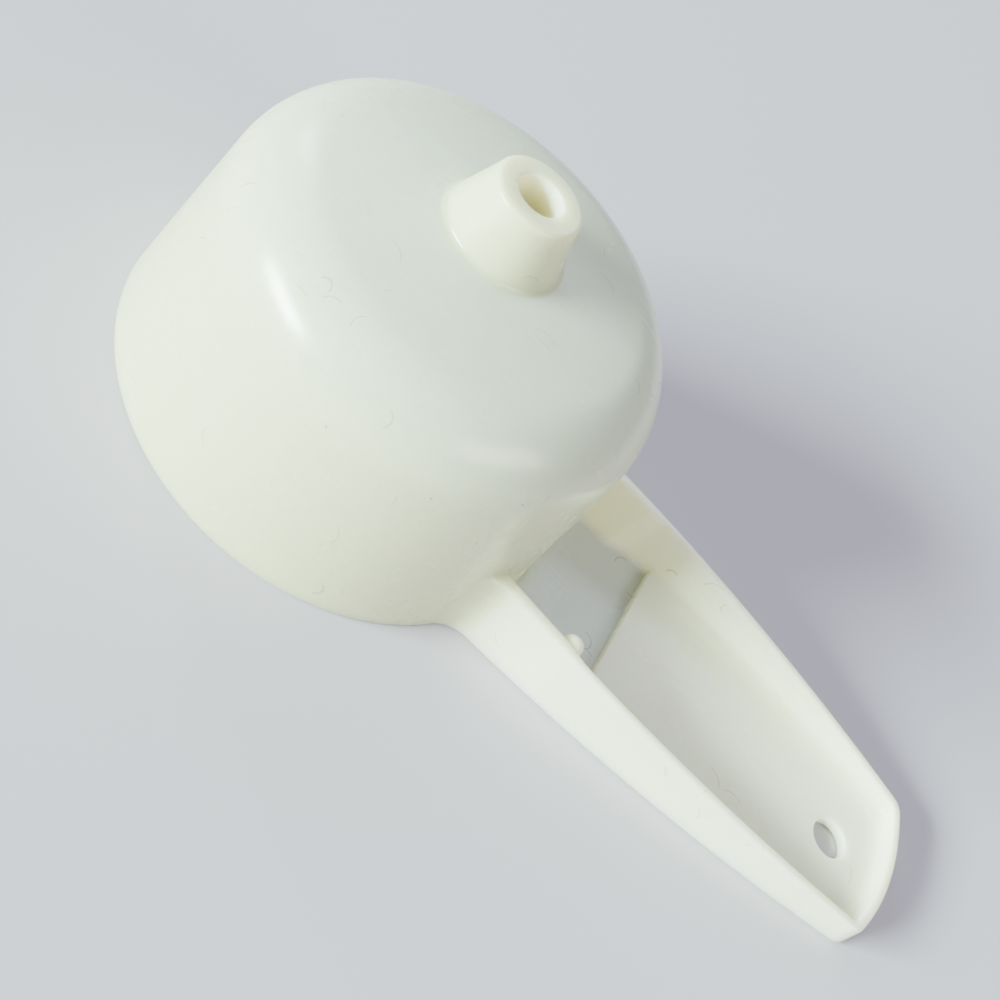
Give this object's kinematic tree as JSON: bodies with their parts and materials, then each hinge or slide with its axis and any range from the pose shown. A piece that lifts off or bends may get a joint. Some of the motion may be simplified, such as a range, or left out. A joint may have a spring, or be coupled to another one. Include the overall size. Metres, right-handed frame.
{
  "type": "handled kitchen funnel",
  "caption": "Small moulded plastic funnel with a round cup, a short tapered spout and a channel-section handle that ends in a hanging hole.",
  "frame": {"origin": "centre of the cup's mouth, on the plane of the mouth rim, which is the plane the funnel stands on", "axes": "+Z along the spout axis from the mouth to the outlet, +X from the cup axis along the handle to its tip"},
  "size_m": [0.1137, 0.056, 0.0391],
  "materials": {
    "milky_plastic": "translucent milky white polyethylene, semi-gloss with fine scratches"
  },
  "bodies": {
    "root": {"cup_wall": "milky_plastic", "cup_shoulder": "milky_plastic", "cup_dome": "milky_plastic", "spout": "milky_plastic", "handle_floor": "milky_plastic", "handle_wall_left": "milky_plastic", "handle_wall_right": "milky_plastic", "handle_tip_rim": "milky_plastic", "nub": "milky_plastic"}
  },
  "joints": []
}
